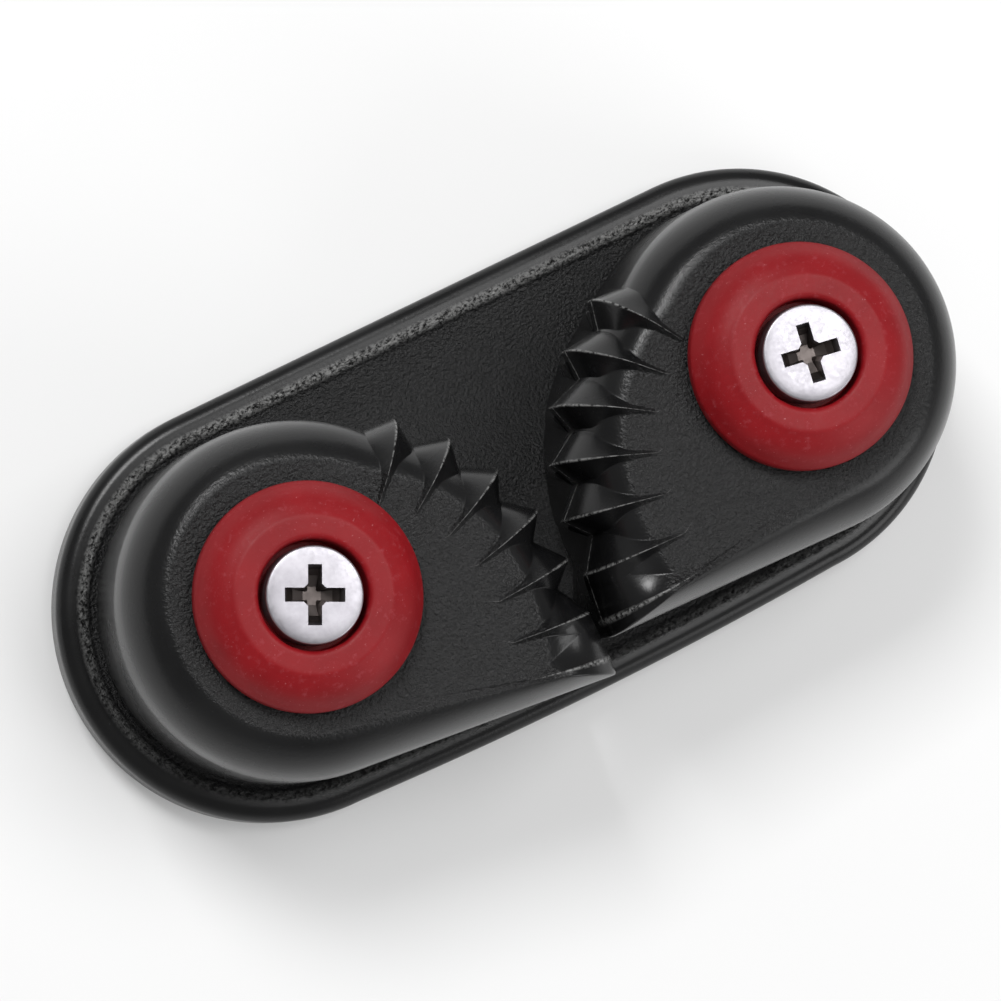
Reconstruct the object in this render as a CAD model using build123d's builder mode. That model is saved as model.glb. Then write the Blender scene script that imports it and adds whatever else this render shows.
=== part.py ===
"""Ball-bearing cam cleat for 38 mm fastener spacing, in millimetres.

The origin is the middle of the base's underside, +Z is up, +X runs along the line of pivots from the
left cam to the right cam, and +Y is the side that the loaded rope leaves on.
"""

from build123d import *
from math import acos, cos, degrees, exp, hypot, radians, sin
import os

os.makedirs("parts", exist_ok=True)

# Base plate
PIVOT_SPACING = 38.0
BASE_END_R = 14.9
BASE_BOW = 0.55  # how far the straight -Y side bulges at mid-length
BASE_H = 3.6
BASE_EDGE_R = 1.1
RIM_W = 1.7
RIM_SLOPE_W = 0.7
FLOOR_Z = 3.1

# Cam body
CAM_BOTTOM_Z = 3.95
CAM_FULL_Z = 14.1  # the widest level of the rounded back
CAM_TOP_Z = 19.8
BACK_R = 12.35
SHOULDER_W = 3.05  # from the widest level in to the flat top
SHOULDER_STEPS = [(0.55, 0.2), (0.88, 0.56), (1.0, 1.0)]  # shares of its height and of its width
BOTTOM_CHAMFER_H = 1.2
BOTTOM_CHAMFER_SHARE = 0.1  # of the shoulder's width
FLANK_START = 46.0  # degrees, where the toothed flank leaves the round back
FLANK_LEAD = 4.0  # degrees from the first tip to where the flank runs parallel to the tips
NOSE_LEAD = 1.5  # degrees from the last tip to the corner of the tail

# Teeth: tips on a logarithmic spiral about the pivot, evenly spaced along it
TOOTH_COUNT = 7
FIRST_TIP_R = 14.2
FIRST_TIP_ANGLE = 35.7
SPIRAL_RATE = 0.322
TOOTH_PITCH = 3.85
TOOTH_DEPTH = 1.65
END_TIP_EXTRA = 1.1
TOOTH_HALF_W = 2.0
TOOTH_ROOT_SINK = 1.2  # how deep a tooth's root stands in the body
TOOTH_CREASE_Z = 13.8
TOOTH_TOP_Z = 17.2
TOOTH_FOOT_Z = 4.6
TOOTH_FOOT_REACH = 0.25  # how far a tooth still stands out at its foot
FOOT_LEAN = 3.5  # degrees that a tooth's foot stands further towards +Y than its tip
RIDGE_LENGTH = 5.9  # from a tip in to where its ridge runs out on the flat top
RIDGE_SWEEP = 9.3  # degrees between a ridge's two ends
RIGHT_CAM_TURN = 7.4  # the right cam rests half a tooth further round

# Bearing in each cam
POST_R = 4.2
POST_BORE_R = 2.6
POST_TOP_Z = 19.4
COLLAR_R = 6.9
COLLAR_TOP_Z = 8.6
BALL_R = 1.5
BALL_COUNT = 11
RACE_GAP = 0.05
RIDGE_R = 4.75
RIDGE_LOW_Z = 11.8
RIDGE_HIGH_Z = 14.8
BALL_END_GAP = 0.12
BALL_ORBIT_R = POST_R + RACE_GAP + BALL_R
CAM_BORE_R = BALL_ORBIT_R + BALL_R + RACE_GAP
BALL_ROWS = {
    "lower": RIDGE_LOW_Z - BALL_END_GAP - BALL_R,
    "upper": RIDGE_HIGH_Z + BALL_END_GAP + BALL_R,
}

# Torsion spring in the pocket under each cam
POCKET_R = 9.7
POCKET_TOP_Z = 8.3
WIRE_R = 0.45
SPRING_R = 8.3
SPRING_TURNS = 2.75
SPRING_PITCH = 1.05
SPRING_LOW_Z = 4.75
SPRING_START = 200.0  # where the lower leg stands
SPRING_END = SPRING_START - 360 * SPRING_TURNS
SPRING_TOP_Z = SPRING_LOW_Z + SPRING_TURNS * SPRING_PITCH
LEG_GAP = 0.12
LEG_REACH = 2.1  # how far the upper leg reaches out into the cam's slot
LEG_DROP = 1.0  # how far the lower leg goes down into the base's hole
POINTS_PER_TURN = 16

# Red disc and screw
DISC_R = 7.85
DISC_LOW_Z = 20.05
DISC_TOP_Z = 23.3
DISC_EDGE_H = 1.0
DISC_FLAT_R = 5.4
DISC_CROWN = (0.35, 0.4)  # how far its slope bulges out and up
COUNTERBORE_R = 3.75
SEAT_Z = 20.95
SPIGOT_R = 6.9
SPIGOT_LOW_Z = 18.05
SCREW_HEAD_R = 3.33
SCREW_HEAD_TOP_Z = 23.6
HEAD_EDGE_R = 0.4
SHANK_R = 2.2
THREAD_R = 2.5
THREAD_TOP_Z = -0.3
SCREW_END_Z = -11.5
SCREW_POINT = 0.6
RECESS_SPAN = 4.1
RECESS_W = 0.95
RECESS_DEPTH = 1.5
RECESS_TAPER = 8.0
CROSS_ANGLE = {"left": -26.0, "right": -9.0}

CUT_PAST = 0.001  # how far a cut starts beyond the face that it opens

HANDS = {"left": 1, "right": -1}


def pivot_x(hand):
    return -hand * PIVOT_SPACING / 2


def at_pivot(hand, z):
    """A horizontal plane at height z with its origin on the pivot of one cam."""
    return Plane(origin=(pivot_x(hand), 0, z), x_dir=(1, 0, 0), z_dir=(0, 0, 1))


def polar(hand, radius, angle):
    """A point about a cam's own pivot; angles start at the other pivot and grow towards +Y."""
    return (hand * radius * cos(radians(angle)), radius * sin(radians(angle)))


def tip_radius(angle):
    return FIRST_TIP_R * exp(SPIRAL_RATE * radians(FIRST_TIP_ANGLE - angle))


def tip_angles():
    """Angles of the tips, each one pitch of arc beyond the last along the spiral."""
    angles = [FIRST_TIP_ANGLE]
    rise = hypot(1, SPIRAL_RATE)
    for _ in range(TOOTH_COUNT - 1):
        angles.append(angles[-1] - degrees(TOOTH_PITCH / rise / tip_radius(angles[-1])))
    return angles


TIP_ANGLES = tip_angles()
NOSE_ANGLE = TIP_ANGLES[-1] - NOSE_LEAD


def cam_outline(hand, turn, inset):
    """The cam's plan without its teeth; inset 0 is the widest outline and 1 is the flat top's."""
    back = BACK_R - inset * SHOULDER_W
    drop = TOOTH_DEPTH + inset * SHOULDER_W
    nose = tip_radius(NOSE_ANGLE) - drop
    touch = NOSE_ANGLE - degrees(acos(back / nose))
    flank = [polar(hand, back, FLANK_START + turn)]
    first = FIRST_TIP_ANGLE - FLANK_LEAD
    steps = 5
    for i in range(steps + 1):
        angle = first + (NOSE_ANGLE - first) * i / steps
        flank.append(polar(hand, tip_radius(angle) - drop, angle + turn))
    heel = polar(hand, back, touch + turn)
    rear = polar(hand, back, (touch + FLANK_START - 360) / 2 + turn)
    with BuildLine() as outline:
        Spline(*flank)
        Line(flank[-1], heel)
        ThreePointArc(heel, rear, flank[0])
    return outline.edges()


def tooth_triangle(hand, radius, angle, half_width, root):
    """A triangle with its tip at the given polar place and its two root corners inside the cam."""
    spread = degrees(half_width / root)
    corners = [
        polar(hand, radius, angle),
        polar(hand, root, angle - spread),
        polar(hand, root, angle + spread),
    ]
    with BuildLine() as triangle:
        Polyline(*corners, close=True)
    return triangle.edges()


def section(hand, z, edges):
    """A closed outline about a cam's pivot as a face at height z."""
    with BuildSketch(at_pivot(hand, z)) as cut:
        make_face(edges)
    return cut.sketch.face()


def slot_section(z, width):
    with BuildSketch(Plane.XY.offset(z)) as cut:
        SlotCenterToCenter(PIVOT_SPACING, width)
    return cut.sketch.face()


def make_base():
    half = PIVOT_SPACING / 2
    with BuildPart() as base:
        with BuildSketch():
            with BuildLine():
                Line((-half, BASE_END_R), (half, BASE_END_R))
                ThreePointArc((half, BASE_END_R), (half + BASE_END_R, 0), (half, -BASE_END_R))
                ThreePointArc((half, -BASE_END_R), (0, -BASE_END_R - BASE_BOW), (-half, -BASE_END_R))
                ThreePointArc((-half, -BASE_END_R), (-half - BASE_END_R, 0), (-half, BASE_END_R))
            make_face()
        extrude(amount=BASE_H)
        fillet(base.faces().sort_by(Axis.Z)[-1].outer_wire().edges(), BASE_EDGE_R)
        mouth_w = 2 * (BASE_END_R - RIM_W)
        recess_floor = slot_section(FLOOR_Z, mouth_w - 2 * RIM_SLOPE_W)
        recess_mouth = slot_section(BASE_H, mouth_w)
        loft(sections=[recess_floor, recess_mouth], ruled=True, mode=Mode.SUBTRACT)
        for hand in HANDS.values():
            with Locations(at_pivot(hand, FLOOR_Z)):
                Hole(POST_BORE_R)
            with BuildSketch(at_pivot(hand, FLOOR_Z)):
                with Locations(polar(hand, SPRING_R, SPRING_START)):
                    Circle(WIRE_R + LEG_GAP)
            extrude(amount=-LEG_DROP - LEG_GAP, mode=Mode.SUBTRACT)
    return base.part


def leg_plane(hand):
    """The plane across the spring's upper leg, where it leaves the coil and points out from the pivot."""
    x, y = polar(hand, SPRING_R, SPRING_END)
    return Plane(origin=(pivot_x(hand) + x, y, SPRING_TOP_Z), z_dir=(x, y, 0))


def make_spring(hand):
    """A helix with one leg turned down into the base and the other out into the cam."""
    steps = round(POINTS_PER_TURN * SPRING_TURNS)
    turns = []
    for i in range(steps + 1):
        x, y = polar(hand, SPRING_R, SPRING_START - 360 * SPRING_TURNS * i / steps)
        turns.append((pivot_x(hand) + x, y, SPRING_LOW_Z + (SPRING_TOP_Z - SPRING_LOW_Z) * i / steps))
    with BuildPart() as spring:
        with BuildLine() as wire:
            Spline(*turns)
        with BuildSketch(Plane(origin=wire.line @ 0, z_dir=wire.line % 0)):
            Circle(WIRE_R)
        sweep(path=wire.line)
        with BuildSketch(at_pivot(hand, SPRING_LOW_Z + WIRE_R / 2)):
            with Locations(polar(hand, SPRING_R, SPRING_START)):
                Circle(WIRE_R)
        extrude(amount=FLOOR_Z - LEG_DROP - SPRING_LOW_Z)
        with BuildSketch(leg_plane(hand)):
            Circle(WIRE_R)
        extrude(amount=LEG_REACH)
    return spring.part


def make_cam(hand, turn):
    with BuildPart() as cam:
        levels = [
            (CAM_BOTTOM_Z, BOTTOM_CHAMFER_SHARE),
            (CAM_BOTTOM_Z + BOTTOM_CHAMFER_H, 0.0),
            (CAM_FULL_Z, 0.0),
        ]
        for rise, inset in SHOULDER_STEPS:
            levels.append((CAM_FULL_Z + rise * (CAM_TOP_Z - CAM_FULL_Z), inset))
        faces = [section(hand, z, cam_outline(hand, turn, inset)) for z, inset in levels]
        for low, high in zip(faces, faces[1:]):
            loft(sections=[low, high], ruled=True)
        for i, angle in enumerate(TIP_ANGLES):
            extra = END_TIP_EXTRA if i == TOOTH_COUNT - 1 else 0
            tip = tip_radius(angle) + extra
            root = tip_radius(angle) - TOOTH_DEPTH - TOOTH_ROOT_SINK
            aim = angle + turn
            foot = tip_radius(angle) - TOOTH_DEPTH + TOOTH_FOOT_REACH
            rows = [
                (TOOTH_FOOT_Z, foot, aim + FOOT_LEAN, TOOTH_HALF_W / 2),
                (TOOTH_CREASE_Z, tip, aim, TOOTH_HALF_W),
                (TOOTH_TOP_Z, tip, aim, TOOTH_HALF_W),
            ]
            steps = [
                section(hand, z, tooth_triangle(hand, radius, at, half_width, root))
                for z, radius, at, half_width in rows
            ]
            loft(sections=steps[:2], ruled=True)
            loft(sections=steps[1:], ruled=True)
            apex = polar(hand, tip - RIDGE_LENGTH, aim - RIDGE_SWEEP)
            loft(sections=[steps[2], Vertex(pivot_x(hand) + apex[0], apex[1], CAM_TOP_Z)], ruled=True)
        for low, high, radius in (
            (CAM_BOTTOM_Z, POCKET_TOP_Z, POCKET_R),
            (POCKET_TOP_Z, RIDGE_LOW_Z, CAM_BORE_R),
            (RIDGE_LOW_Z, RIDGE_HIGH_Z, RIDGE_R),
            (RIDGE_HIGH_Z, CAM_TOP_Z, CAM_BORE_R),
        ):
            with BuildSketch(at_pivot(hand, low - CUT_PAST)):
                Circle(radius)
            extrude(amount=high - low + 2 * CUT_PAST, mode=Mode.SUBTRACT)
        with BuildSketch(leg_plane(hand)):
            Circle(WIRE_R + LEG_GAP)
        extrude(amount=LEG_REACH + LEG_GAP, mode=Mode.SUBTRACT)
    return cam.part


def turned(hand, outline):
    """A solid of revolution about a cam's pivot from (radius, height) corners."""
    x = pivot_x(hand)
    with BuildPart() as solid:
        with BuildSketch(Plane.XZ):
            with BuildLine():
                Polyline(*[(x + radius, z) for radius, z in outline], close=True)
            make_face()
        revolve(axis=Axis((x, 0, 0), (0, 0, 1)))
    return solid.part


def make_post(hand):
    return turned(
        hand,
        [
            (POST_BORE_R, FLOOR_Z),
            (COLLAR_R, FLOOR_Z),
            (COLLAR_R, COLLAR_TOP_Z),
            (POST_R, COLLAR_TOP_Z),
            (POST_R, POST_TOP_Z),
            (POST_BORE_R, POST_TOP_Z),
        ],
    )


def make_disc(hand):
    x = pivot_x(hand)
    edge = (x + DISC_R, DISC_LOW_Z + DISC_EDGE_H)
    crest = (x + DISC_FLAT_R, DISC_TOP_Z)
    middle = ((edge[0] + crest[0]) / 2 + DISC_CROWN[0], (edge[1] + crest[1]) / 2 + DISC_CROWN[1])
    with BuildPart() as disc:
        with BuildSketch(Plane.XZ):
            with BuildLine():
                Polyline(
                    (x + COUNTERBORE_R, DISC_TOP_Z),
                    (x + COUNTERBORE_R, SEAT_Z),
                    (x + POST_BORE_R, SEAT_Z),
                    (x + POST_BORE_R, POST_TOP_Z),
                    (x + POST_R + RACE_GAP, POST_TOP_Z),
                    (x + POST_R + RACE_GAP, SPIGOT_LOW_Z),
                    (x + SPIGOT_R, SPIGOT_LOW_Z),
                    (x + SPIGOT_R, DISC_LOW_Z),
                    (x + DISC_R, DISC_LOW_Z),
                    edge,
                )
                ThreePointArc(edge, middle, crest)
                Line(crest, (x + COUNTERBORE_R, DISC_TOP_Z))
            make_face()
        revolve(axis=Axis((x, 0, 0), (0, 0, 1)))
    return disc.part


def make_screw(hand, cross_angle):
    outline = [
        (0, SCREW_END_Z),
        (THREAD_R - SCREW_POINT, SCREW_END_Z),
        (THREAD_R, SCREW_END_Z + SCREW_POINT),
        (THREAD_R, THREAD_TOP_Z),
        (SHANK_R, THREAD_TOP_Z),
        (SHANK_R, SEAT_Z),
        (SCREW_HEAD_R, SEAT_Z),
        (SCREW_HEAD_R, SCREW_HEAD_TOP_Z),
        (0, SCREW_HEAD_TOP_Z),
    ]
    blank = turned(hand, outline)
    with BuildPart() as screw:
        add(blank)
        fillet(screw.edges().filter_by(GeomType.CIRCLE).sort_by(Axis.Z)[-1], HEAD_EDGE_R)
        with BuildSketch(at_pivot(hand, SCREW_HEAD_TOP_Z)):
            for angle in (cross_angle, cross_angle + 90):
                Rectangle(RECESS_SPAN, RECESS_W, rotation=angle)
        extrude(amount=-RECESS_DEPTH, taper=RECESS_TAPER, mode=Mode.SUBTRACT)
    return screw.part


def make_balls(hand, z):
    with BuildPart() as balls:
        with Locations(at_pivot(hand, z)):
            with PolarLocations(BALL_ORBIT_R, BALL_COUNT):
                Sphere(BALL_R)
    return balls.part


def write(name, part):
    part.label = name
    export_step(part, f"parts/{name}.step")


write("base", make_base())
for side, hand in HANDS.items():
    turn = 0.0 if side == "left" else RIGHT_CAM_TURN
    write(f"{side}_cam", make_cam(hand, turn))
    write(f"{side}_post", make_post(hand))
    write(f"{side}_spring", make_spring(hand))
    write(f"{side}_disc", make_disc(hand))
    write(f"{side}_screw", make_screw(hand, CROSS_ANGLE[side]))
    for row, z in BALL_ROWS.items():
        write(f"{side}_{row}_balls", make_balls(hand, z))
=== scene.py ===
"""Looks of a ball-bearing cam cleat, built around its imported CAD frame.

Lengths are written in millimetres in the frame's own axes and turned into metres where a mesh is made.
Each cam is one closed sheet of quads whose columns follow the ridges of its teeth. The base is a stack
of rings around its outline, and the discs and screws are turned profiles.
"""

from math import acos, atan2, ceil, cos, degrees, exp, hypot, pi, radians, sin, tan

import bmesh
import bpy
from mathutils import Matrix, Vector, noise


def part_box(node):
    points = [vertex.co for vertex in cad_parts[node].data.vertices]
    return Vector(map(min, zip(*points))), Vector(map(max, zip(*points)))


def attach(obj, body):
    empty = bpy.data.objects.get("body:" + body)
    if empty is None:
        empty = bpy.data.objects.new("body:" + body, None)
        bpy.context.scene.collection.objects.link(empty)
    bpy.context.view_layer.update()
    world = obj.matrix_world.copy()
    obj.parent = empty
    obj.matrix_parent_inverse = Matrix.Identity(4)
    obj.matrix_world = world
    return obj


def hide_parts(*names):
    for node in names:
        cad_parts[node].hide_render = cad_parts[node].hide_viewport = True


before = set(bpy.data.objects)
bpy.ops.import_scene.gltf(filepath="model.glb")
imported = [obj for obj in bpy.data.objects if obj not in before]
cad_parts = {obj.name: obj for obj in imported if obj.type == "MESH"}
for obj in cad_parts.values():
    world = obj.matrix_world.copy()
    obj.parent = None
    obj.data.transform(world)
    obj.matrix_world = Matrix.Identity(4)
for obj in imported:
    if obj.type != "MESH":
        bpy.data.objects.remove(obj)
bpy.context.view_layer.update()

MM = 0.001

# Camera
CAMERA_TARGET = Vector((-2.53, -0.074, 12.0))
CAMERA_AZIMUTH = 172.645
CAMERA_ELEVATION = 78.72
CAMERA_ROLL = 71.475
CAMERA_DISTANCE = 470.0
CAMERA_LENS = 244.9

# Base plate
BASE_END_R = 14.9
BASE_BOW = 0.54
BASE_EDGE_R = 1.1
RIM_W = 1.7
RIM_SLOPE_W = 0.7
BASE_FLOOR_Z = 3.1
SCREW_HOLE_R = 2.6

# Cam body
CAM_BOTTOM_Z = 3.95
CAM_TOP_Z = 19.8
BACK_FULL_Z = 14.1  # the widest level of the rounded back
TOOTH_FULL_Z = 15.2  # the same on the toothed side
BACK_R = 12.35
SHOULDER_W = 3.05
TOP_GATHER = 0.55  # how fast the flat top's rows close in on the disc over the back, against the teeth
CREASE_SLOPE = 14.0  # degrees that the shoulder still falls where it meets the flat top
CAM_BORE_R = 7.3
RACE_R = 4.75
RACE_LOW_Z = 11.8
RACE_HIGH_Z = 14.8
POCKET_R = 9.7
POCKET_TOP_Z = 8.3
BOTTOM_CHAMFER_H = 1.2
BOTTOM_CHAMFER_W = 0.3

# Teeth
TOOTH_COUNT = 7
FIRST_TIP_R = 14.2
FIRST_TIP_ANGLE = 35.7
SPIRAL_RATE = 0.322
TOOTH_PITCH = 3.85
TOOTH_DEPTH = 1.65
LOAD_SHARE = 0.45  # where a tip stands between its two valleys
LOWER_SHARE = 0.67  # where the lower tier's crest stands
LOWER_DEPTH = 1.2
CREASE_Z = 13.8  # between the two tiers
LOWER_END_Z = 4.2
VALLEY_LEAN = 1.4
CREST_LEAN = 0.76
RIDGE_SWEEP = 9.6
RIDGE_INSET = 5.15  # how far in from the valleys a ridge ends, on the flat top
RIDGE_END_H = 0.15
RIDGE_FALL = 1.25  # power by which a ridge's height falls along it
FACET_FADE_PLACE = 0.38  # share of a ridge's length at which its facets have half their width
FACET_FADE_POWER = 2.4
FIRST_VALLEY_STRETCH = 1.06
LAND_BLEND = 0.35  # how softly the lands flow into the round back
NOSE_TIP = (22.1, -35.9)  # radius and angle where the last crest ends
NOSE_END = (22.75, -38.6)  # the other corner of the blunt end
NOSE_APEX = (16.2, -46.4)
NOSE_END_TAPER = 0.985  # how much nearer to the pivot the blunt end's own line runs out
RIGHT_CAM_TURN = 7.4

SIDES = {"left": 1, "right": -1}


def pivot(side):
    low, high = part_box(f"{side}_post")
    return (low + high) / 2 / MM


# ---------------------------------------------------------------- meshes


def face_outward(mesh):
    bm = bmesh.new()
    bm.from_mesh(mesh)
    bmesh.ops.recalc_face_normals(bm, faces=bm.faces)
    bm.to_mesh(mesh)
    bm.free()


def mesh_piece(name, body, replaced, vertices, faces, levels=0):
    """A smooth-shaded mesh object in the frame, from vertices in millimetres."""
    mesh = bpy.data.meshes.new(name)
    mesh.from_pydata([Vector(v) * MM for v in vertices], [], faces)
    mesh.validate()
    face_outward(mesh)
    mesh.polygons.foreach_set("use_smooth", [True] * len(mesh.polygons))
    piece = bpy.data.objects.new(name, mesh)
    bpy.context.scene.collection.objects.link(piece)
    if levels:
        subdivision = piece.modifiers.new("Subdivision", "SUBSURF")
        subdivision.levels = subdivision.render_levels = levels
    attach(piece, body)
    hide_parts(replaced)
    return piece


def grid(rows, close_rows=False):
    """Vertices and quads of a grid of points whose columns close on themselves."""
    count = len(rows[0])
    vertices = [point for row in rows for point in row]
    faces = []
    for r in range(len(rows) if close_rows else len(rows) - 1):
        low, high = r * count, (r + 1) % len(rows) * count
        for c in range(count):
            after = (c + 1) % count
            faces.append((low + c, low + after, high + after, high + c))
    return vertices, faces


def float_attribute(piece, name, values):
    attribute = piece.data.attributes.new(name, "FLOAT", "POINT")
    attribute.data.foreach_set("value", values)


def mix(a, b, t):
    return a + (b - a) * t


def smooth(t):
    t = min(max(t, 0.0), 1.0)
    return t * t * (3 - 2 * t)


# ---------------------------------------------------------------- cams


def tip_radius(angle):
    return FIRST_TIP_R * exp(SPIRAL_RATE * radians(FIRST_TIP_ANGLE - angle))


def tip_angles():
    angles = [FIRST_TIP_ANGLE]
    rise = hypot(1, SPIRAL_RATE)
    for _ in range(TOOTH_COUNT - 1):
        angles.append(angles[-1] - degrees(TOOTH_PITCH / rise / tip_radius(angles[-1])))
    return angles


TIP_ANGLES = tip_angles()


def land_radius(angle):
    """The cam's plan between the teeth, which flows into the round back."""
    valley = tip_radius(angle) - TOOTH_DEPTH
    gap = hypot(valley - BACK_R, LAND_BLEND)
    return (valley + BACK_R + gap) / 2


def shoulder_end():
    """The angle at which the shoulder's ellipse has the crease's slope."""
    ratio = tan(radians(CREASE_SLOPE)) * SHOULDER_W / (CAM_TOP_Z - BACK_FULL_Z)
    return acos(ratio / (1 - ratio))


SHOULDER_END = shoulder_end()
SHOULDER_A = SHOULDER_W / (1 - cos(SHOULDER_END))


class Level:
    """One row round the cam's upper part: its inset, its heights and its place on the ridges."""

    def __init__(self, inset, phi=None, proud=1.0):
        """phi is the place on the shoulder's ellipse, proud the share of the ridge's height."""
        self.inset = inset
        if phi is None:
            self.tooth_z = self.back_z = CAM_TOP_Z
            out, up = 0.0, 1.0
        else:
            rise = sin(phi) / sin(SHOULDER_END)
            self.tooth_z = mix(TOOTH_FULL_Z, CAM_TOP_Z, rise)
            self.back_z = mix(BACK_FULL_Z, CAM_TOP_Z, rise)
            out, up = cos(phi) / SHOULDER_A, sin(phi) * sin(SHOULDER_END) / (CAM_TOP_Z - TOOTH_FULL_Z)
        length = hypot(out, up)
        self.out, self.up = out / length, up / length
        self.along = self.solve_along()
        self.height = self.ridge_height(self.along) * proud
        self.reach = inset - self.height * self.out

    @staticmethod
    def ridge_height(along):
        return RIDGE_END_H + (TOOTH_DEPTH - RIDGE_END_H) * max(1 - along, 0) ** RIDGE_FALL

    def solve_along(self):
        """The share of a ridge's length, from its tip, that this row crosses it at."""
        along = 0.5
        for _ in range(40):
            reach = self.inset - self.ridge_height(along) * self.out
            along = mix(along, (reach + TOOTH_DEPTH) / (RIDGE_INSET + TOOTH_DEPTH), 0.5)
        return min(max(along, 0), 1)

    def width(self):
        """The share of a tooth's half width that its facets still have here."""
        return 1 / (1 + (self.along / FACET_FADE_PLACE) ** FACET_FADE_POWER)


def upper_levels():
    """The rows from the ridges' inner ends out over the flat top and down the shoulder."""
    levels = [Level(RIDGE_INSET + 0.18, proud=0), Level(RIDGE_INSET + 0.06, proud=0.5)]
    levels += [Level(inset) for inset in FLAT_INSETS]
    steps = [SHOULDER_END, SHOULDER_END - radians(2)]
    steps += [radians(angle) for angle in (75, 69, 63, 57, 51, 45, 39, 33, 28, 23, 19)]
    levels += [Level(SHOULDER_A * (1 - cos(phi)), phi) for phi in steps]
    levels += [Level(SHOULDER_A * (1 - cos(radians(angle))), radians(angle)) for angle in (9, 2)]
    levels.append(Level(0, 0.0))
    return levels


FLAT_INSETS = (5.05, 4.7, 4.3, 3.9, 3.55, 3.3, 3.13)
INNER_STEPS = (0.04, 0.2, 0.4, 0.6, 0.8)  # rows between the bore and the ridges' inner ends
BORE_ROWS = 2
LOAD_FACET = (0.0, 0.07, 0.3, 0.55, 0.78, 0.93)
LOWER_FACET = 0.409  # the share of a tail facet at which the lower tier's crest stands
TAIL_FACET = (0.07, 0.22, 0.34, LOWER_FACET, 0.48, 0.7, 0.92, 1.0)
PETAL = (0.12, 0.5, 0.88)
VALLEY_FLOOR = 0.012  # share of the pitch
TAIL_STEPS = (0.015, 0.05, 0.12, 0.22, 0.34, 0.46, 0.58, 0.7, 0.82, 0.92)
BACK_COLUMNS = 58
BACK_BLEND_START = 0.84  # share of the back's columns after which it flows into the first tooth
CREST_PLACE = 3 + len(LOAD_FACET)  # a crest's column, counted from its tooth's first one
PER_TOOTH = CREST_PLACE + 1 + len(TAIL_FACET) + 2
FIRST_LEVEL = BORE_ROWS + len(INNER_STEPS)


def tooth_gap(i):
    """Degrees from the tip of tooth i back to its valley on the load side and on to the other."""
    if i == 0:
        load = LOAD_SHARE * (TIP_ANGLES[0] - TIP_ANGLES[1]) * FIRST_VALLEY_STRETCH
    else:
        load = LOAD_SHARE * (TIP_ANGLES[i - 1] - TIP_ANGLES[i])
    if i == TOOTH_COUNT - 1:
        return load, 0.0
    return load, (1 - LOAD_SHARE) * (TIP_ANGLES[i] - TIP_ANGLES[i + 1])


def flat(radius, angle):
    """Plan coordinates about the pivot, before mirroring."""
    return Vector((radius * cos(radians(angle)), radius * sin(radians(angle))))


def ridge_point(i, level):
    """Radius, angle and height of a tooth's crest on one row."""
    if i == TOOTH_COUNT - 1:
        (tip_r, tip_a), (apex_r, apex_a) = NOSE_TIP, NOSE_APEX
    else:
        tip_a = TIP_ANGLES[i]
        tip_r = tip_radius(tip_a)
        apex_a = tip_a - RIDGE_SWEEP
        apex_r = land_radius(apex_a) - RIDGE_INSET
    share = (level.reach + TOOTH_DEPTH) / (RIDGE_INSET + TOOTH_DEPTH)
    place = flat(tip_r, tip_a).lerp(flat(apex_r, apex_a), share)
    angle = degrees(atan2(place.y, place.x))
    return place.length, angle, level.tooth_z + level.height * level.up


def row_inset(level, weight):
    """A row's inset, which past the shoulder is shorter over the back (weight 0) than over the teeth."""
    past_shoulder = max(level.inset - SHOULDER_W, 0)
    return min(level.inset, SHOULDER_W) + past_shoulder * mix(TOP_GATHER, 1, weight)


def land_point(angle, level, weight=1.0):
    plan = flat(land_radius(angle) - row_inset(level, weight), angle)
    return Vector((plan.x, plan.y, mix(level.back_z, level.tooth_z, weight)))


def straighten(row, start, share):
    """Draws the points after start towards the straight line from there to the row's last point."""
    first, last = row[start], row[-1]
    line = last - first
    for c in range(start + 1, len(row) - 1):
        along = (row[c] - first).dot(line) / line.length_squared
        row[c] = row[c].lerp(first + line * along, share)


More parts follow.
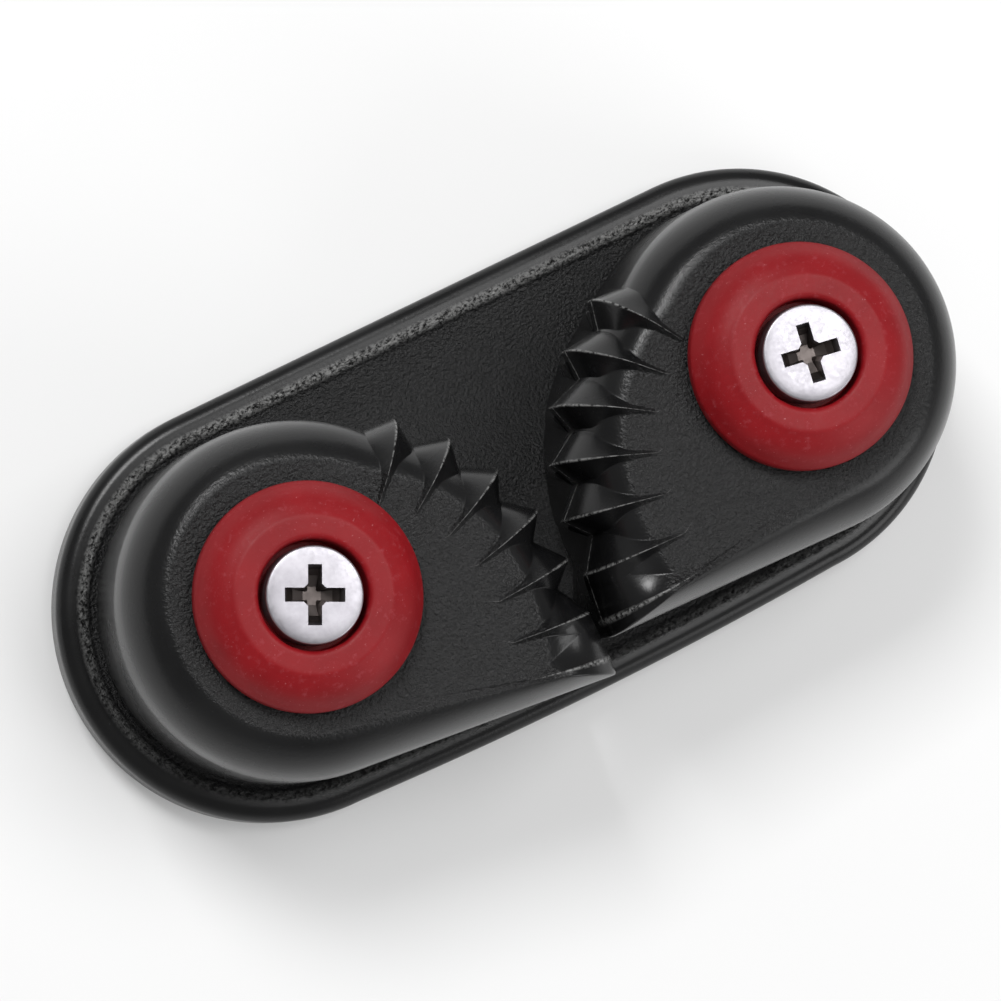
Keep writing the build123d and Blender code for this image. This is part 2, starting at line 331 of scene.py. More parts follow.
def upper_row(level):
    """All columns of one row, from the load-side valley of the first tooth round to the back."""
    feet, crests = [], []
    for i in range(TOOTH_COUNT):
        radius, angle, z = ridge_point(i, level)
        plan = flat(radius, angle)
        crests.append(Vector((plan.x, plan.y, z)))
        load, tail = tooth_gap(i)
        share = level.width()
        ground = land_radius(angle) - level.inset
        scale = share * (1 - VALLEY_FLOOR * 2)
        wide = scale * tip_radius(TIP_ANGLES[i]) / max(ground, 1)  # the same width nearer to the pivot
        scale = mix(wide, scale, smooth((share - 0.8) / 0.2))
        feet.append((angle + load * scale, angle - tail * scale))
    row = []
    load_valley = TIP_ANGLES[0] + tooth_gap(0)[0]
    valley = mix(feet[0][0], load_valley, 0.5 if level.width() < 0.97 else 1.0)
    first = valley
    for i in range(TOOTH_COUNT):
        load_foot, tail_foot = feet[i]
        row.append(land_point(valley, level))
        for share in PETAL[1:]:
            row.append(land_point(mix(valley, load_foot, share), level))
        foot = land_point(load_foot, level)
        row += [foot.lerp(crests[i], share) for share in LOAD_FACET]
        row.append(crests[i])
        if i == TOOTH_COUNT - 1:
            break
        foot = land_point(tail_foot, level)
        before_last = len(row) - 1
        row += [crests[i].lerp(foot, share) for share in TAIL_FACET]
        valley = (tail_foot + feet[i + 1][0]) / 2
        for share in PETAL[:2]:
            row.append(land_point(mix(tail_foot, valley, share), level))
    straighten(row, before_last, smooth((level.width() - 0.25) / 0.6))
    nose = crests[-1]
    share = (level.reach + TOOTH_DEPTH) / (RIDGE_INSET + TOOTH_DEPTH)
    plan = flat(*NOSE_END).lerp(flat(*NOSE_APEX) * NOSE_END_TAPER, share)
    end = Vector((plan.x, plan.y, z))
    row += [nose.lerp(end, share) for share in (0.3, 0.7)]
    row.append(end)
    back = BACK_R - row_inset(level, 0.0)
    heel_angle = degrees(atan2(end.y, end.x) - acos(back / plan.length))
    plan = flat(back, heel_angle)
    heel = Vector((plan.x, plan.y, level.back_z))
    for share in TAIL_STEPS:
        point = end.lerp(heel, share)
        point.z = level.back_z + (z - level.back_z) * (1 - share) ** 2
        row.append(point)
    for step in range(BACK_COLUMNS):
        angle = mix(heel_angle, first - 360, step / BACK_COLUMNS)
        weight = smooth((step / BACK_COLUMNS - BACK_BLEND_START) / (1 - BACK_BLEND_START))
        row.append(back_point(angle, level, weight))
    return row


def back_point(angle, level, weight):
    wrapped = angle + 360 if angle < -180 else angle
    radius = mix(BACK_R, land_radius(wrapped), weight) - row_inset(level, weight)
    plan = flat(radius, angle)
    return Vector((plan.x, plan.y, mix(level.back_z, level.tooth_z, weight)))


def wall_row(widest, z, depth, inset=0.0):
    """A row straight under the widest one; depth, from 0 to 1, is how far down the lower tier it is."""
    row = []
    last_crest = PER_TOOTH * (TOOTH_COUNT - 1) + CREST_PLACE
    for c, point in enumerate(widest):
        tooth, place = divmod(c, PER_TOOTH)
        plan = Vector((point.x, point.y))
        if depth is not None and c < last_crest:
            plan = lower_tier(tooth, place, depth)
        row.append(Vector((plan.x, plan.y, z)))
    if depth is not None:
        toothed = row[: last_crest + 1]
        crest = PER_TOOTH * (TOOTH_COUNT - 2) + CREST_PLACE + 1 + TAIL_FACET.index(LOWER_FACET)
        straighten(toothed, crest, 1.0)
        row[: len(toothed)] = toothed
    for point in row:
        inward = Vector((point.x, point.y, 0)).normalized() * inset
        point -= inward
    return row


def lower_tier(tooth, place, depth):
    """Plan of one column of a tooth's lower tier."""
    load, tail = tooth_gap(tooth)
    floor = VALLEY_FLOOR
    shares = [0.0, floor * 0.5, floor * 0.88]
    shares += [mix(floor, LOAD_SHARE, share) for share in LOAD_FACET] + [LOAD_SHARE]
    shares += [mix(LOAD_SHARE, 1 - floor, share) for share in TAIL_FACET]
    shares += [1 - floor * 0.88, 1 - floor * 0.5]
    share = shares[place]
    tip = TIP_ANGLES[tooth]
    radius = tip_radius(tip)
    lean_valley = degrees(VALLEY_LEAN * depth / radius)
    lean_crest = degrees(CREST_LEAN * depth / radius)
    if tooth == TOOTH_COUNT - 1:
        valley = flat(land_radius(tip + load + lean_valley), tip + load + lean_valley)
        return valley.lerp(flat(*NOSE_TIP), share / LOAD_SHARE)
    crest_angle = tip + load - LOWER_SHARE * (load + tail)
    if share <= LOWER_SHARE:
        part = share / LOWER_SHARE
        angle = mix(tip + load + lean_valley, crest_angle + lean_crest, part)
    else:
        part = (1 - share) / (1 - LOWER_SHARE)
        angle = mix(tip - tail + lean_valley, crest_angle + lean_crest, part)
    return flat(land_radius(angle) + LOWER_DEPTH * (1 - depth) * part, angle)


def turned_row(source, radius, z):
    """A round row whose columns keep the bearings of another row's."""
    row = []
    for point in source:
        plan = Vector((point.x, point.y)).normalized() * radius
        row.append(Vector((plan.x, plan.y, z)))
    return row


def between(a, b, share):
    return [p.lerp(q, share) for p, q in zip(a, b)]


def cam_rows():
    """Rows of a cam about its pivot, from the bore's top edge outward, down and back up inside."""
    levels = upper_levels()
    upper = [upper_row(level) for level in levels]
    inner = upper[0]
    lip = turned_row(inner, CAM_BORE_R + 0.12, CAM_TOP_Z)
    rows = [turned_row(inner, CAM_BORE_R, CAM_TOP_Z - 0.12), lip]
    rows += [between(lip, inner, share) for share in INNER_STEPS]
    rows += upper
    widest = upper[-1]
    crease = wall_row(widest, CREASE_Z, None)
    rows += [between(crease, widest, share) for share in (0.9, 0.5, 0.07)]
    rows.append(crease)
    drop = CREASE_Z - LOWER_END_Z
    rows.append(wall_row(widest, CREASE_Z - 0.04, 0.0))
    rows.append(wall_row(widest, CREASE_Z - 0.15, 0.15 / drop))
    for z in (12.5, 11.0, 9.5, 8.0, 6.6, CAM_BOTTOM_Z + BOTTOM_CHAMFER_H):
        rows.append(wall_row(widest, z, (CREASE_Z - z) / drop))
    for share in (0.15, 0.9, 1.0):
        z = mix(CAM_BOTTOM_Z + BOTTOM_CHAMFER_H, CAM_BOTTOM_Z, share)
        rows.append(wall_row(widest, z, min((CREASE_Z - z) / drop, 1), BOTTOM_CHAMFER_W * share))
    bottom = rows[-1]
    pocket = turned_row(bottom, POCKET_R + 0.1, CAM_BOTTOM_Z)
    rows += [between(bottom, pocket, share) for share in (0.06, 0.5, 0.94)]
    corners = [
        (POCKET_R + 0.1, CAM_BOTTOM_Z),
        (POCKET_R, CAM_BOTTOM_Z + 0.1),
        (POCKET_R, POCKET_TOP_Z),
        (CAM_BORE_R, POCKET_TOP_Z),
        (CAM_BORE_R, RACE_LOW_Z),
        (RACE_R, RACE_LOW_Z),
        (RACE_R, RACE_HIGH_Z),
        (CAM_BORE_R, RACE_HIGH_Z),
        (CAM_BORE_R, CAM_TOP_Z - 0.3),
    ]
    rows += [turned_row(bottom, radius, z) for radius, z in held_corners(corners)]
    return rows


def held_corners(corners, hold=0.12):
    """A turned profile with an extra point close on each side of each inner corner."""
    profile = [corners[0]]
    for before, corner, after in zip(corners, corners[1:], corners[2:]):
        here = Vector(corner)
        for other in (before, after):
            way = Vector(other) - here
            profile.append(tuple(here + way.normalized() * min(hold, way.length * 0.4)))
        profile.insert(-1, corner)
    return profile + [corners[-1]]


def make_cam(side):
    hand = SIDES[side]
    turn = 0.0 if side == "left" else radians(RIGHT_CAM_TURN)
    centre = pivot(side)
    rows = cam_rows()
    placed = []
    for row in rows:
        placed.append([])
        for point in row:
            x = point.x * cos(turn) - point.y * sin(turn)
            y = point.x * sin(turn) + point.y * cos(turn)
            placed[-1].append((centre.x + hand * x, centre.y + y, point.z))
    vertices, faces = grid(placed, close_rows=True)
    name, cam = f"{side}_cam_casting", f"{side}_cam"
    piece = mesh_piece(name, cam, cam, vertices, faces, 1)
    count = len(placed[0])
    flat_rows = FIRST_LEVEL + 2 + len(FLAT_INSETS)
    grain = []
    for r in range(len(placed)):
        value = 1.0 if r <= flat_rows else max(0.0, 1 - (r - flat_rows) / 4) ** 2
        grain += [value] * count
    float_attribute(piece, "grain", grain)
    # painted highlight: the edge attribute lightens the ridges and the zigzag outline where they would
    # glint
    float_attribute(piece, "edge", cam_edges(len(placed), count))
    return piece


def cam_edges(row_count, count):
    """Painted highlight along the ridges of the teeth and along the zigzag outline of the upper tier,
    standing in for the glint of these edges.
    """
    widest = FIRST_LEVEL + len(upper_levels()) - 1
    crease = widest + 4
    values = []
    for r in range(row_count):
        for c in range(count):
            toothed = c <= PER_TOOTH * (TOOTH_COUNT - 1) + CREST_PLACE
            crest = toothed and c % PER_TOOTH == CREST_PLACE and FIRST_LEVEL <= r <= crease
            outline = toothed and r == widest
            values.append(0.9 if outline else 0.6 if crest else 0.0)
    return values


# ---------------------------------------------------------------- base


def base_outline(count=900):
    """Points round the base with their outward directions; the -Y side bows out a little."""
    half = abs(pivot("left").x)
    bow_r = (half**2 + BASE_BOW**2) / (2 * BASE_BOW)
    bow_half = atan2(half, bow_r - BASE_BOW)
    stretches = [
        (2 * half, lambda t: ((half - 2 * half * t, BASE_END_R), pi / 2)),
        (pi * BASE_END_R, lambda t: end_arc(-half, pi / 2 + pi * t)),
        (2 * half, lambda t: bowed(bow_r, -pi / 2 + mix(-bow_half, bow_half, t))),
        (pi * BASE_END_R, lambda t: end_arc(half, -pi / 2 + pi * t)),
    ]
    total = sum(length for length, _ in stretches)
    points = []
    for length, place in stretches:
        steps = round(count * length / total)
        for step in range(steps):
            (x, y), way = place(step / steps)
            points.append((Vector((x, y)), Vector((cos(way), sin(way)))))
    return points


def end_arc(x, angle):
    return (x + BASE_END_R * cos(angle), BASE_END_R * sin(angle)), angle


def bowed(bow_r, angle):
    """A place on the wide arc of the -Y side."""
    centre_y = -BASE_END_R - BASE_BOW + bow_r
    return (bow_r * cos(angle), centre_y + bow_r * sin(angle)), angle


def base_profile(top):
    """Inset and height of the rings, from the underside over the rim to the sunk floor."""
    rim = []
    for step in range(9):
        angle = radians(90 * step / 8)
        rim.append((BASE_EDGE_R * (1 - cos(angle)), top - BASE_EDGE_R + BASE_EDGE_R * sin(angle)))
    slope_end = RIM_W + RIM_SLOPE_W
    profile = [(0.5, 0.0), (0.32, 0.0), (0.22, 0.02), (0.08, 0.1), (0.0, 0.25), (0.0, 1.2), (0.0, 2.2)]
    profile += rim
    profile += [(1.3, top), (1.5, top), (1.62, top - 0.01), (1.72, top - 0.07)]
    for t in (0.2, 0.4, 0.6, 0.8, 0.94):
        profile.append((mix(1.72, slope_end, t), mix(top - 0.07, BASE_FLOOR_Z, t)))
    return profile + [(slope_end + past, BASE_FLOOR_Z) for past in (0.1, 0.5, 1.2)]


def make_base():
    """Rings round the outline, uneven on the rim's inner slope, with the two screw holes cut."""
    outline = base_outline()
    rows = []
    grain = []
    painted_glint = []
    for inset, z in base_profile(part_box("base")[1].z / MM):
        row = []
        edge = max(0.0, 1 - abs(inset - 1.9) / 0.55)
        for place, way in outline:
            plan = place - way * inset
            if z > 1 and edge > 0:
                where = Vector((plan.x, plan.y, 0))
                wobble = noise.noise(where * 0.45) * 0.10 + noise.noise(where * 1.6) * 0.07
                wobble += noise.noise(where * 4.5) * 0.035
                plan -= way * wobble * edge
                height = z - max(0.0, noise.noise(where * 2.3) - 0.25) * 0.28 * edge
            else:
                height = z
            row.append((plan.x, plan.y, height))
            grain.append(smooth((inset - 1.35) / 0.5) if z > 1 else 0.0)
            # painted highlight on the rim's inner slope, fuller on the +Y side where the light falls,
            # carried by the edge attribute
            load_side = mix(0.25, 1, smooth(way.y + 0.2))
            painted_glint.append(max(0.0, 1 - abs(inset - 1.8) / 0.48) * load_side if z > 1 else 0.0)
        rows.append(row)
    vertices, faces = grid(rows)
    count = len(rows[0])
    faces.append(tuple(range(count)))
    faces.append(tuple(range(len(vertices) - count, len(vertices))))
    piece = mesh_piece("base_casting", "base", "base", vertices, faces)
    float_attribute(piece, "grain", grain)
    float_attribute(piece, "edge", painted_glint)
    centres = [pivot(side) for side in SIDES]
    for centre in centres:
        cut_hole(piece, centre, SCREW_HOLE_R)
    grain = piece.data.attributes["grain"].data
    for vertex in piece.data.vertices:
        place = vertex.co / MM
        from_hole = min(hypot(place.x - centre.x, place.y - centre.y) for centre in centres)
        if from_hole < SCREW_HOLE_R + 0.1:
            grain[vertex.index].value = 1.0
    return piece


def cut_hole(piece, centre, radius):
    bm = bmesh.new()
    size = {"radius1": radius * MM, "radius2": radius * MM, "depth": 12 * MM}
    bmesh.ops.create_cone(bm, cap_ends=True, segments=72, **size)
    mesh = bpy.data.meshes.new("hole_cutter")
    bm.to_mesh(mesh)
    bm.free()
    cutter = bpy.data.objects.new("hole_cutter", mesh)
    bpy.context.scene.collection.objects.link(cutter)
    cutter.location = Vector((centre.x, centre.y, 0)) * MM
    cut_away(piece, cutter)


def cut_away(piece, cutter):
    """Cuts one closed mesh object from another and removes the cutter."""
    boolean = piece.modifiers.new("Cut", "BOOLEAN")
    boolean.operation = "DIFFERENCE"
    boolean.solver = "EXACT"
    boolean.object = cutter
    bpy.context.view_layer.update()
    depsgraph = bpy.context.evaluated_depsgraph_get()
    mesh = bpy.data.meshes.new_from_object(piece.evaluated_get(depsgraph), depsgraph=depsgraph)
    piece.modifiers.clear()
    piece.data = mesh
    bpy.data.objects.remove(cutter)


# ---------------------------------------------------------------- discs and screws


def arc(centre, radius, start, end, steps=6):
    """Points of a profile's round corner, from one angle to another in degrees."""
    points = []
    for step in range(steps + 1):
        angle = radians(mix(start, end, step / steps))
        points.append((centre[0] + radius * cos(angle), centre[1] + radius * sin(angle)))
    return points


def lathe(centre, profile, columns=128):
    rows = []
    for radius, z in profile:
        row = []
        for column in range(columns):
            angle = 2 * pi * column / columns
            row.append((centre.x + radius * cos(angle), centre.y + radius * sin(angle), z))
        rows.append(row)
    return rows


DISC_R = 7.85
DISC_LOW_Z = 20.05
DISC_TOP_Z = 23.3
DISC_EDGE_H = 1.0
DISC_FLAT_R = 5.4
COUNTERBORE_R = 3.75
LIP_R = 0.42
SEAT_Z = 20.95
SPIGOT_R = 6.9
SPIGOT_LOW_Z = 18.05
POST_TOP_Z = 19.4
DISC_BORE_R = 2.6
POST_SOCKET_R = 4.25


def disc_slope(steps=12):
    """The convex slope from the disc's edge up to its flat middle."""
    points = []
    foot_z = DISC_LOW_Z + DISC_EDGE_H
    for step in range(1, steps):
        t = step / steps
        radius = mix(DISC_R - 0.18, DISC_FLAT_R, t)
        bulge = 0.34 * sin(pi * t)
        points.append((radius + bulge * 0.6, mix(foot_z + 0.2, DISC_TOP_Z - 0.04, t) + bulge * 0.7))
    return points


def make_disc(side):
    centre = pivot(side)
    foot_z = DISC_LOW_Z + DISC_EDGE_H
    profile = [
        (DISC_BORE_R, SEAT_Z),
        (DISC_BORE_R, POST_TOP_Z),
        (POST_SOCKET_R, POST_TOP_Z),
        (POST_SOCKET_R, SPIGOT_LOW_Z),
        (SPIGOT_R, SPIGOT_LOW_Z),
        (SPIGOT_R, DISC_LOW_Z),
        (DISC_R - 0.15, DISC_LOW_Z),
    ]
    profile = held_corners(profile, 0.1)
    profile += arc((DISC_R - 0.15, DISC_LOW_Z + 0.15), 0.15, -60, 0, 3)
    profile += [(DISC_R, DISC_LOW_Z + 0.5), (DISC_R, foot_z - 0.15), (DISC_R - 0.04, foot_z + 0.05)]
    profile += disc_slope()
    profile += [(radius, DISC_TOP_Z) for radius in (DISC_FLAT_R, DISC_FLAT_R - 0.25, 4.8, 4.4)]
    lip = (COUNTERBORE_R + LIP_R, DISC_TOP_Z - LIP_R)
    profile += arc(lip, LIP_R, 90, 180, 6)
    profile += [(COUNTERBORE_R, 22.6), (COUNTERBORE_R, 21.6), (COUNTERBORE_R, SEAT_Z + 0.12)]
    profile += [(COUNTERBORE_R - 0.03, SEAT_Z), (COUNTERBORE_R - 0.2, SEAT_Z), (3.0, SEAT_Z)]
    rows = lathe(centre, profile)
    for row, (radius, z) in zip(rows, profile):
        near = max(0.0, 1 - abs(radius - COUNTERBORE_R - 0.05) / 0.3) if z > 22 else 0.0
        if near:
            for c, point in enumerate(row):
                where = Vector(point)
                push = noise.noise(where * 1.1) * 0.03 + noise.noise(where * 3.1) * 0.02
                out = (where - Vector((centre.x, centre.y, where.z))).normalized()
                row[c] = tuple(where + out * push * near)
    vertices, faces = grid(rows, close_rows=True)
    name = f"{side}_disc_moulding"
    return mesh_piece(name, "base", f"{side}_disc", vertices, faces, 1)


SCREW_HEAD_R = 3.33
SCREW_HEAD_TOP_Z = 23.6
HEAD_EDGE_R = 0.18
SHANK_R = 2.4
THREAD_R = 2.5
THREAD_ROOT_R = 2.02
THREAD_PITCH = 0.8
THREAD_TOP_Z = -0.3
SCREW_END_Z = -11.5
RECESS_SPAN = 4.1
RECESS_W = 0.95
RECESS_DEPTH = 1.5
RECESS_CORNER = 0.28
CROSS_ANGLE = {"left": -26.0, "right": -9.0}
THREAD_COLUMNS = 96
THREAD_ROWS = 10  # to a pitch


def thread_rows(centre):
    """The threaded end, whose crest climbs one pitch a turn and fades at both ends."""
    rows = []
    steps = ceil((THREAD_TOP_Z - SCREW_END_Z) / THREAD_PITCH * THREAD_ROWS)
    for step in range(steps + 1):
        z = mix(SCREW_END_Z, THREAD_TOP_Z, step / steps)
        fade = smooth((z - SCREW_END_Z) / 1.0) * smooth((THREAD_TOP_Z - z) / 0.8)
        row = []
        for column in range(THREAD_COLUMNS):
            turn = column / THREAD_COLUMNS
            angle = 2 * pi * turn
            phase = ((z - SCREW_END_Z) / THREAD_PITCH - turn) % 1.0
            crest = min(1.0, max(0.0, 1.15 - abs(phase - 0.5) * 2.6))
            radius = mix(THREAD_ROOT_R, THREAD_R, crest * fade)
            row.append((centre.x + radius * cos(angle), centre.y + radius * sin(angle), z))
        rows.append(row)
    return rows


def make_screw(side):
    centre = pivot(side)
    top = SCREW_HEAD_TOP_Z
    end = [(radius, SCREW_END_Z) for radius in (0.4, 1.3, 1.75)]
    rows = lathe(centre, end, THREAD_COLUMNS) + thread_rows(centre)
    head = [(SHANK_R, z) for z in (THREAD_TOP_Z + 0.1, 5.0, 12.0, SEAT_Z - 0.1, SEAT_Z)]
    head += [(SHANK_R + 0.1, SEAT_Z), (SCREW_HEAD_R - 0.1, SEAT_Z)]
    head += [(SCREW_HEAD_R, SEAT_Z + 0.1), (SCREW_HEAD_R, 22.0)]
    head += arc((SCREW_HEAD_R - HEAD_EDGE_R, top - HEAD_EDGE_R - 0.06), HEAD_EDGE_R, 0, 78, 8)
    head += [(2.9, top - 0.03), (2.6, top - 0.01), (2.2, top)]
    rows += lathe(centre, head, THREAD_COLUMNS)
    vertices, faces = grid(rows)
    faces.append(tuple(range(THREAD_COLUMNS)))
    faces.append(tuple(range(len(vertices) - THREAD_COLUMNS, len(vertices))))
    piece = mesh_piece(f"{side}_machine_screw", "base", f"{side}_screw", vertices, faces)
    cut_recess(piece, centre, CROSS_ANGLE[side])
    return piece


def recess_outline(scale_span, scale_width):
    """Corners of the cross, one quarter turned four times, with its inner corners cut across."""
    span = RECESS_SPAN / 2 * scale_span
    half = RECESS_W / 2 * scale_width
    corner = half + RECESS_CORNER * scale_span
    quarter = [(span, -half), (span, half), (corner, half), (half, corner)]
    points = []
    for turn in range(4):
        angle = pi / 2 * turn
        for x, y in quarter:
            points.append((x * cos(angle) - y * sin(angle), x * sin(angle) + y * cos(angle)))
    return points


def cut_recess(piece, centre, cross_angle):
    top = SCREW_HEAD_TOP_Z
    layers = [
        (1.06, 1.12, 0.4),  # scale of the span, scale of the arms' width, height above the head
        (1.0, 1.0, 0.0),
        (0.86, 0.9, -0.7),
        (0.66, 0.82, -1.15),
        (0.3, 0.6, -RECESS_DEPTH),
    ]
    vertices, faces = [], []
    for span, width, depth in layers:
        for x, y in recess_outline(span, width):
            vertices.append(Vector((x, y, depth)) * MM)
    count = len(vertices) // len(layers)
    for layer in range(len(layers) - 1):
        for c in range(count):
            after = (c + 1) % count
            low, high = layer * count, (layer + 1) * count
            faces.append((low + c, low + after, high + after, high + c))
    faces.append(tuple(range(count)))
    faces.append(tuple(range(len(vertices) - count, len(vertices))))
    mesh = bpy.data.meshes.new("recess_cutter")
    mesh.from_pydata(vertices, [], faces)
    face_outward(mesh)
    cutter = bpy.data.objects.new("recess_cutter", mesh)
    bpy.context.scene.collection.objects.link(cutter)
    cutter.matrix_world = Matrix.Translation(Vector((centre.x, centre.y, top)) * MM) @ Matrix.Rotation(
        radians(cross_angle), 4, "Z"
    )
    cut_away(piece, cutter)
    bm = bmesh.new()
    bm.from_mesh(piece.data)
    for edge in bm.edges:
        if edge.is_manifold and edge.calc_face_angle() > radians(28):
            edge.smooth = False
    # painted shade: the recess attribute marks the cross recess, whose colour is darkened to a brownish
    # grey
    recess = bm.verts.layers.float.new("recess")
    for vertex in bm.verts:
        place = vertex.co / MM
        inside = hypot(place.x - centre.x, place.y - centre.y) < 2.2 and place.z > SEAT_Z
        vertex[recess] = smooth((top - 0.15 - place.z) / 0.3) if inside else 0.0
    bm.to_mesh(piece.data)
    bm.free()


# ---------------------------------------------------------------- materials


def new_material(name):
    material = bpy.data.materials.new(name)
    material.use_nodes = True
    tree = material.node_tree
    shader = tree.nodes["Principled BSDF"]
    place = tree.nodes.new("ShaderNodeTexCoord")
    return material, tree, shader, place.outputs["Object"]


def noise_node(tree, place, size_mm, detail=3.0, roughness=0.55, stretch=None):
    """Noise whose grains are about size_mm across."""
    texture = tree.nodes.new("ShaderNodeTexNoise")
    texture.inputs["Scale"].default_value = 1 / (size_mm * MM)
    texture.inputs["Detail"].default_value = detail
    texture.inputs["Roughness"].default_value = roughness
    if stretch:
        mapping = tree.nodes.new("ShaderNodeMapping")
        mapping.inputs["Scale"].default_value = stretch
        tree.links.new(place, mapping.inputs["Vector"])
        place = mapping.outputs["Vector"]
    tree.links.new(place, texture.inputs["Vector"])
    return texture.outputs["Fac"]


def ramp(tree, value, low, high, to_low=0.0, to_high=1.0):
    """The value's stretch from low to high, mapped to another stretch and clamped."""
    node = tree.nodes.new("ShaderNodeMapRange")
    node.inputs["From Min"].default_value = low
    node.inputs["From Max"].default_value = high
    node.inputs["To Min"].default_value = to_low
    node.inputs["To Max"].default_value = to_high
    tree.links.new(value, node.inputs["Value"])
    return node.outputs["Result"]


def math_node(tree, operation, a, b):
    node = tree.nodes.new("ShaderNodeMath")
    node.operation = operation
    for socket, value in zip(node.inputs, (a, b)):
        if isinstance(value, (int, float)):
            socket.default_value = value
        else:
            tree.links.new(value, socket)
    return node.outputs["Value"]


def colour_mix(tree, share, a, b):
    node = tree.nodes.new("ShaderNodeMix")
    node.data_type = "RGBA"
    for socket, value in ((node.inputs[6], a), (node.inputs[7], b)):
        if isinstance(value, tuple):
            socket.default_value = (*value, 1)
        else:
            tree.links.new(value, socket)
    tree.links.new(share, node.inputs[0])
    return node.outputs[2]


def bump(tree, height, strength, depth_mm, normal=None):
    node = tree.nodes.new("ShaderNodeBump")
    node.inputs["Distance"].default_value = depth_mm * MM
    if isinstance(strength, (int, float)):
        node.inputs["Strength"].default_value = strength
    else:
        tree.links.new(strength, node.inputs["Strength"])
    tree.links.new(height, node.inputs["Height"])
    if normal is not None:
        tree.links.new(normal, node.inputs["Normal"])
    return node.outputs["Normal"]


def attribute_node(tree, name):
    node = tree.nodes.new("ShaderNodeAttribute")
    node.attribute_name = name
    return node.outputs["Fac"]


PAINTED_EDGE_HIGHLIGHT = (0.30, 0.30, 0.295)  # colour of the painted highlight along the cams' ridges and zigzag outline and on the base's rim slope


def black_casting(name, grain_size, smooth_roughness):
    """Satin black coating: smooth where grain is 0, orange-peel rough where it is 1."""
    material, tree, shader, place = new_material(name)
    grain = attribute_node(tree, "grain")
    cloud = noise_node(tree, place, 6.0, 4)
    peel = noise_node(tree, place, grain_size, 3, 0.6)
    fine = noise_node(tree, place, 0.09, 2)
    patches = ramp(tree, cloud, 0.35, 0.65)
    colour = colour_mix(tree, patches, (0.0032, 0.0032, 0.0034), (0.006, 0.006, 0.0063))
    speck = ramp(tree, noise_node(tree, place, 0.22, 2), 0.71, 0.76, 0, 0.3)
    colour = colour_mix(tree, speck, colour, (0.05, 0.05, 0.05))
    # painted highlight: where the edge attribute is set, noise-broken patches turn the black towards a
    # light grey, standing in for the glint of edges
    glint_breakup = ramp(tree, noise_node(tree, place, 0.3, 3, 0.75), 0.4, 0.56)
    painted_glint = math_node(tree, "MULTIPLY", attribute_node(tree, "edge"), glint_breakup)
    colour = colour_mix(tree, painted_glint, colour, PAINTED_EDGE_HIGHLIGHT)
    tree.links.new(colour, shader.inputs["Base Color"])
    rough = math_node(tree, "MULTIPLY_ADD", grain, 0.16)
    rough.node.inputs[2].default_value = smooth_roughness
    varied = math_node(tree, "ADD", rough, ramp(tree, cloud, 0.3, 0.7, -0.03, 0.05))
    tree.links.new(varied, shader.inputs["Roughness"])
    shader.inputs["Specular IOR Level"].default_value = 0.3
    strength = ramp(tree, grain, 0, 1, 0.05, 1.0)
    normal = bump(tree, peel, strength, 0.2)
    normal = bump(tree, fine, ramp(tree, grain, 0, 1, 0.08, 0.35), 0.02, normal)
    tree.links.new(normal, shader.inputs["Normal"])
    return material


def red_moulding():
    material, tree, shader, place = new_material("red_moulding")
    cloud = noise_node(tree, place, 4.0, 4)
    patches = ramp(tree, cloud, 0.35, 0.65)
    colour = colour_mix(tree, patches, (0.178, 0.0025, 0.005), (0.21, 0.004, 0.007))
    scuff = noise_node(tree, place, 0.55, 5, 0.7)
    colour = colour_mix(tree, ramp(tree, scuff, 0.56, 0.74, 0, 0.5), colour, (0.28, 0.05, 0.06))
    speck = ramp(tree, noise_node(tree, place, 0.2, 2), 0.7, 0.75, 0, 0.6)
    colour = colour_mix(tree, speck, colour, (0.36, 0.12, 0.13))
    tree.links.new(colour, shader.inputs["Base Color"])
    tree.links.new(ramp(tree, scuff, 0.3, 0.7, 0.42, 0.56), shader.inputs["Roughness"])
    shader.inputs["Specular IOR Level"].default_value = 0.22
    shader.inputs["Subsurface Weight"].default_value = 0.05
    shader.inputs["Subsurface Radius"].default_value = (0.001, 0.0003, 0.0003)
    normal = bump(tree, noise_node(tree, place, 0.3, 4), 0.25, 0.03)
    tree.links.new(normal, shader.inputs["Normal"])
    return material


def metal(name, colour, dark, roughness, streak=(1, 1, 1)):
    """Bare or plated metal with fine streaks, faint stains and micro scratches."""
    material, tree, shader, place = new_material(name)
    shader.inputs["Metallic"].default_value = 1.0
    stain = noise_node(tree, place, 1.6, 5, 0.6)
    tint = colour_mix(tree, ramp(tree, stain, 0.4, 0.75), colour, dark)
    tree.links.new(tint, shader.inputs["Base Color"])
    grain = noise_node(tree, place, 0.25, 4, 0.6, streak)
    varied = ramp(tree, grain, 0.3, 0.7, roughness - 0.06, roughness + 0.08)
    tree.links.new(varied, shader.inputs["Roughness"])
    tree.links.new(bump(tree, grain, 0.12, 0.01), shader.inputs["Normal"])
    return material, tree, shader, tint


def plated_steel():
    material, tree, shader, tint = metal("plated_steel", (0.385, 0.372, 0.40), (0.28, 0.27, 0.293), 0.4)
    # painted shade: the cross recess is darkened to a brownish grey
    recess = attribute_node(tree, "recess")
    colour = colour_mix(tree, recess, tint, (0.105, 0.09, 0.085))
    tree.links.new(colour, shader.inputs["Base Color"])
    return material


def dress(piece, material):
    piece.data.materials.clear()
    piece.data.materials.append(material)


# ---------------------------------------------------------------- scene


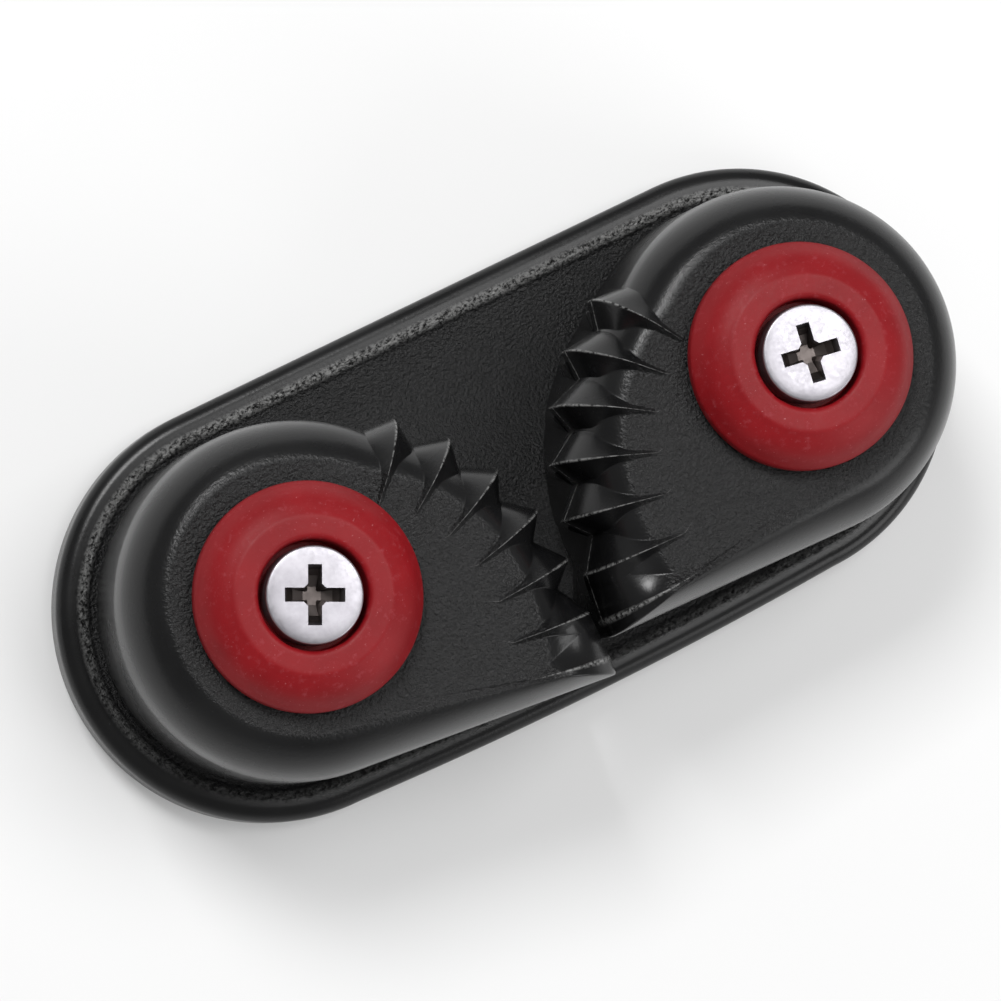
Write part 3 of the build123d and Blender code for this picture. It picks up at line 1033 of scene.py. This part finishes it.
def make_camera():
    azimuth, elevation, roll = (radians(a) for a in (CAMERA_AZIMUTH, CAMERA_ELEVATION, CAMERA_ROLL))
    back = Vector((cos(elevation) * cos(azimuth), cos(elevation) * sin(azimuth), sin(elevation)))
    across = (-back).cross(Vector((0, 0, 1))).normalized()
    up = across.cross(-back)
    right = across * cos(roll) + up * sin(roll)
    top = up * cos(roll) - across * sin(roll)
    data = bpy.data.cameras.new("camera")
    data.sensor_width = 36.0
    data.lens = CAMERA_LENS
    data.clip_start, data.clip_end = 0.01, 5.0
    camera = bpy.data.objects.new("camera", data)
    bpy.context.scene.collection.objects.link(camera)
    axes = Matrix((right, top, back)).transposed().to_4x4()
    camera.matrix_world = Matrix.Translation((CAMERA_TARGET + back * CAMERA_DISTANCE) * MM) @ axes
    bpy.context.scene.camera = camera


def area_light(name, place, size, power):
    """A square softbox turned to the origin."""
    data = bpy.data.lights.new(name, "AREA")
    data.energy = power
    data.shape = "RECTANGLE"
    data.size = size
    data.size_y = size
    light = bpy.data.objects.new(name, data)
    bpy.context.scene.collection.objects.link(light)
    light.location = place
    light.rotation_euler = (-Vector(place)).to_track_quat("-Z", "Y").to_euler()


def make_floor():
    mesh = bpy.data.meshes.new("studio_floor")
    side = 1.5
    corners = [(-side, -side, 0), (side, -side, 0), (side, side, 0), (-side, side, 0)]
    mesh.from_pydata(corners, [], [(0, 1, 2, 3)])
    floor = bpy.data.objects.new("studio_floor", mesh)
    bpy.context.scene.collection.objects.link(floor)
    material, tree, shader, place = new_material("studio_floor")
    tone = noise_node(tree, place, 60.0, 3)
    colour = colour_mix(tree, ramp(tree, tone, 0.3, 0.7), (0.6, 0.6, 0.6), (0.585, 0.585, 0.585))
    tree.links.new(colour, shader.inputs["Base Color"])
    shader.inputs["Roughness"].default_value = 0.7
    shader.inputs["Emission Color"].default_value = (1, 1, 1, 1)
    shader.inputs["Emission Strength"].default_value = 0.16
    dress(floor, material)


def make_lights():
    world = bpy.data.worlds.new("studio")
    bpy.context.scene.world = world
    world.use_nodes = True
    tree = world.node_tree
    tree.nodes["Background"].inputs["Color"].default_value = (1, 1, 1, 1)
    way = tree.nodes.new("ShaderNodeSeparateXYZ")
    tree.links.new(tree.nodes.new("ShaderNodeTexCoord").outputs["Generated"], way.inputs[0])
    horizon = ramp(tree, way.outputs["Z"], 0.05, 0.45, 0.45, 0.0)
    tail_side = ramp(tree, way.outputs["Y"], 0.0, -0.8, 0.0, 1.0)
    glow = math_node(tree, "MULTIPLY", horizon, tail_side)
    strength = math_node(tree, "ADD", glow, 0.34)
    tree.links.new(strength, tree.nodes["Background"].inputs["Strength"])
    area_light("load_side_softbox", (-0.06, 0.42, 0.58), 0.22, 3.4)
    area_light("tail_side_softbox", (0.30, -0.50, 0.35), 0.35, 1.2)
    area_light("overhead_softbox", (0.22, 0.04, 0.54), 0.3, 1.6)


make_camera()
cams = [make_cam(side) for side in SIDES]
base = make_base()
discs = [make_disc(side) for side in SIDES]
screws = [make_screw(side) for side in SIDES]

cam_black = black_casting("cam_black", 0.26, 0.25)
base_black = black_casting("base_black", 0.24, 0.27)
for cam in cams:
    dress(cam, cam_black)
dress(base, base_black)
red = red_moulding()
steel = plated_steel()
for disc in discs:
    dress(disc, red)
for screw in screws:
    dress(screw, steel)
post_steel = metal("post_steel", (0.62, 0.61, 0.60), (0.5, 0.49, 0.48), 0.3, (1, 1, 0.05))[0]
ball_steel = metal("ball_steel", (0.70, 0.71, 0.73), (0.6, 0.61, 0.63), 0.14)[0]
wire_steel = metal("wire_steel", (0.55, 0.54, 0.52), (0.42, 0.40, 0.37), 0.36, (1, 1, 0.2))[0]
for side in SIDES:
    dress(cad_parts[f"{side}_post"], post_steel)
    dress(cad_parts[f"{side}_spring"], wire_steel)
    for row in ("lower", "upper"):
        dress(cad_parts[f"{side}_{row}_balls"], ball_steel)
make_floor()
make_lights()
bpy.context.scene.view_settings.view_transform = "Standard"
